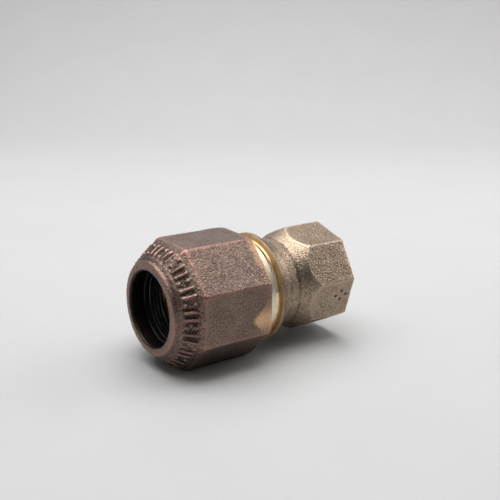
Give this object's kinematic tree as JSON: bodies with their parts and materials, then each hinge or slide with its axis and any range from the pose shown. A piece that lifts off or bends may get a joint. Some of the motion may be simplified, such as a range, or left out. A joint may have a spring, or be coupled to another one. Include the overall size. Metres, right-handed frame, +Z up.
{
  "type": "compression fitting",
  "caption": "Straight bronze coupling: a compression nut for copper tube at one end, an octagonal female pipe socket at the other, with gasket, grip ring and washers inside.",
  "frame": {"origin": "on the fitting's axis, at the middle of its length at rest", "axes": "+X along the axis from the nut's mouth to the female pipe end, +Z up with the nut lying on one of its flats"},
  "size_m": [0.0664, 0.0382, 0.0382],
  "materials": {
    "oxidised_bronze": "sand cast, dark purplish brown oxide, edges worn to copper pink",
    "cast_bronze": "sand cast, tan grey, with a polished turned shoulder",
    "stainless_steel": "turned, satin",
    "turned_brass": "stamped and lightly tarnished",
    "phosphor_bronze": "drawn wire, satin",
    "nitrile_rubber": "moulded, dull black",
    "acetal": "moulded, black, slightly waxy"
  },
  "bodies": {
    "body": {"body": "cast_bronze"},
    "packing": {"slip_washer": "acetal", "grip_ring": "stainless_steel", "backing_washer": "turned_brass", "gasket": "nitrile_rubber", "armour_spring": "phosphor_bronze"},
    "nut": {"compression_nut": "oxidised_bronze"}
  },
  "joints": [
    {"name": "nut_travel", "type": "slide", "parent": "body", "child": "packing", "axis": [1, 0, 0], "range_m": [-0.00693, 0.00462], "deforming": ["gasket", "armour_spring"]},
    {"name": "nut_turn", "type": "hinge", "parent": "packing", "child": "nut", "pos_m": [0, 0, 0], "axis": [1, 0, 0], "range_deg": [-1080, 720]}
  ],
  "couplings": [
    {"joint": "nut_travel", "follows": "nut_turn", "m_per_rad": 0.00036749}
  ]
}
